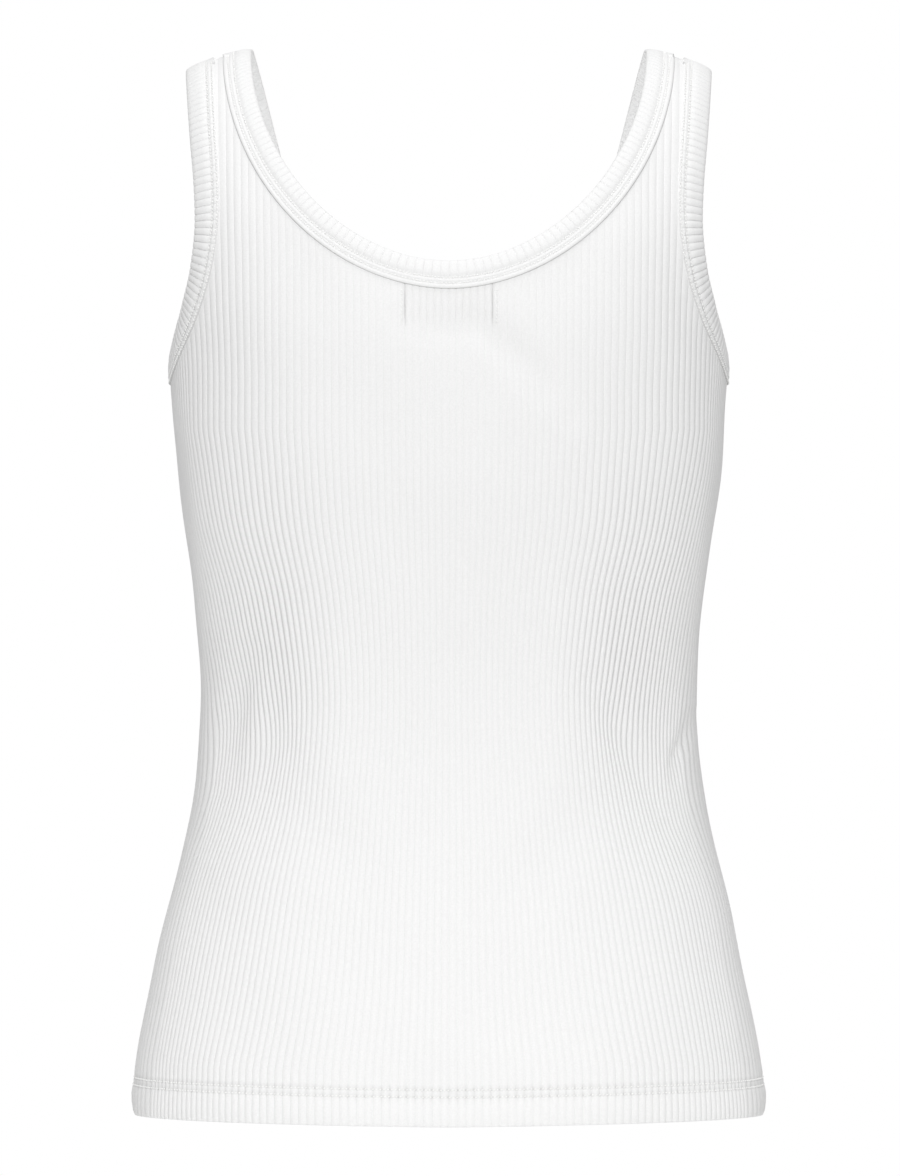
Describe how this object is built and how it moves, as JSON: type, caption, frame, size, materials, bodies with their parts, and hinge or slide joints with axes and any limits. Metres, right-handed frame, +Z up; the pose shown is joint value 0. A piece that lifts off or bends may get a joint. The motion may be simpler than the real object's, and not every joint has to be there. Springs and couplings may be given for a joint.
{
  "type": "tank top",
  "caption": "Sleeveless rib-knit top with wide straps, a deep round neck bound in folded rib and a turned-up hem, hollow and filled out as worn.",
  "frame": {"origin": "midway between the tops of the two shoulder straps, where the wearer's shoulders carry the garment", "axes": "+Z up, +Y out of the back, -Y out of the front, +X to the wearer's left"},
  "size_m": [0.3612, 0.2312, 0.6039],
  "materials": {
    "rib_knit": "matt white cotton rib knit, vertical ribs about 4 mm apart",
    "rib_binding": "matt white cotton rib knit folded over the edge, ribs across the strip"
  },
  "bodies": {
    "root": {"back_panel": "rib_knit", "front_panel": "rib_knit", "neck_binding": "rib_binding", "left_armhole_binding": "rib_binding", "right_armhole_binding": "rib_binding"}
  },
  "joints": []
}
